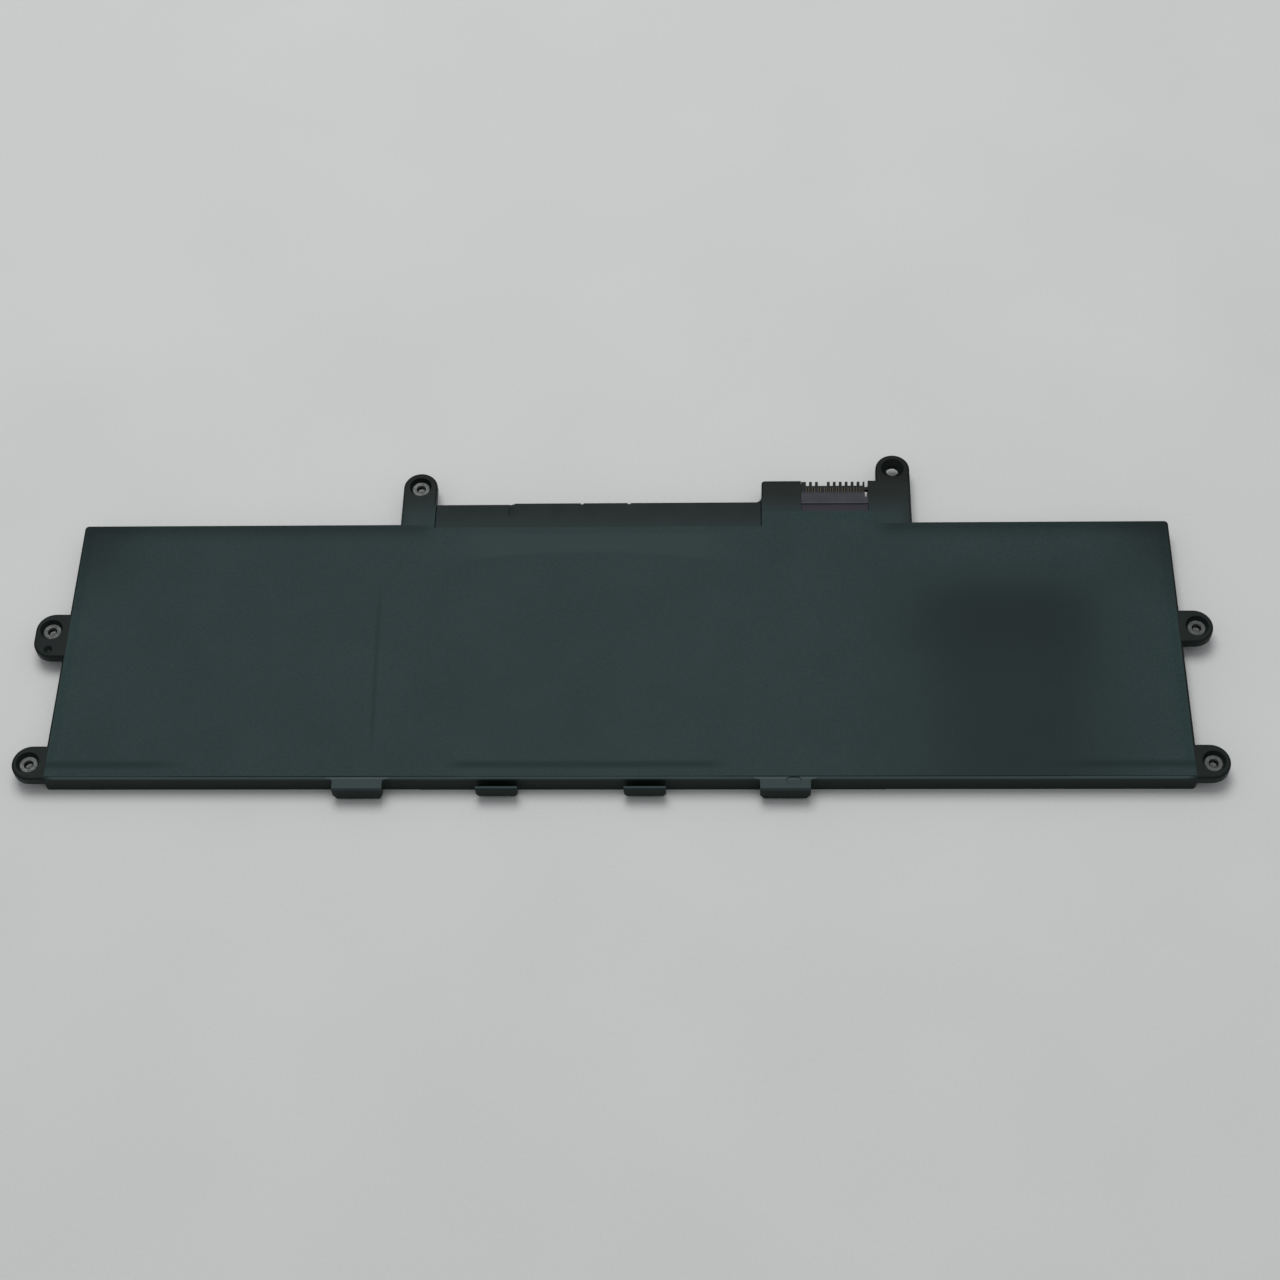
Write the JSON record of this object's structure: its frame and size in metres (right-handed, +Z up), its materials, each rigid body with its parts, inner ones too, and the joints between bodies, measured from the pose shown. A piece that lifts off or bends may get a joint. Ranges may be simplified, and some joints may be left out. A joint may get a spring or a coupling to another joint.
{
  "type": "laptop battery",
  "caption": "Slim internal laptop battery: flat cells in a moulded frame with screw ears, front hooks and a comb connector, closed by plain black film.",
  "frame": {"origin": "middle of the footprint, on the surface that the pack lies on", "axes": "+X along the pack, +Y towards the connector side, +Z up, out of the top film"},
  "size_m": [0.2876, 0.0974, 0.0058],
  "materials": {
    "frame_plastic": "moulded, fine matte texture, black",
    "film": "matte black polyester film",
    "cover_plastic": "moulded, matte black",
    "connector_plastic": "moulded, dark purple-grey",
    "contact_gold": "gold-plated spring contact",
    "bush_metal": "turned, nickel-plated",
    "pouch": "aluminium laminate pouch",
    "tape": "double-sided adhesive tape",
    "tab_aluminium": "bare aluminium foil tab",
    "nickel": "nickel strip",
    "paper": "fibre insulating paper",
    "board": "green solder mask on glass-fibre board",
    "chip": "black moulded package",
    "ceramic": "ceramic chip part"
  },
  "bodies": {
    "root": {"board_cover": "cover_plastic", "bottom_film": "film", "bush_back_left": "bush_metal", "bush_front_left": "bush_metal", "bush_front_right": "bush_metal", "bush_side_left": "bush_metal", "bush_side_right": "bush_metal", "cell_left": "pouch", "cell_middle": "pouch", "cell_right": "pouch", "cell_tape_left": "tape", "cell_tape_middle": "tape", "cell_tape_right": "tape", "charge_transistor": "chip", "circuit_board": "board", "connector_housing": "connector_plastic", "contact_01": "contact_gold", "contact_02": "contact_gold", "contact_03": "contact_gold", "contact_04": "contact_gold", "contact_05": "contact_gold", "contact_06": "contact_gold", "contact_07": "contact_gold", "contact_08": "contact_gold", "contact_09": "contact_gold", "contact_10": "contact_gold", "discharge_transistor": "chip", "frame": "frame_plastic", "fuse": "ceramic", "gauge_chip": "chip", "insulating_paper_left": "paper", "insulating_paper_right": "paper", "left_link_strip": "nickel", "negative_strip": "nickel", "negative_tab_left": "nickel", "negative_tab_middle": "nickel", "negative_tab_right": "nickel", "positive_strip": "nickel", "positive_tab_left": "tab_aluminium", "positive_tab_middle": "tab_aluminium", "positive_tab_right": "tab_aluminium", "protection_chip": "chip", "right_link_strip": "nickel", "sense_resistor": "ceramic", "thermistor": "ceramic", "top_film": "film"}
  },
  "joints": []
}
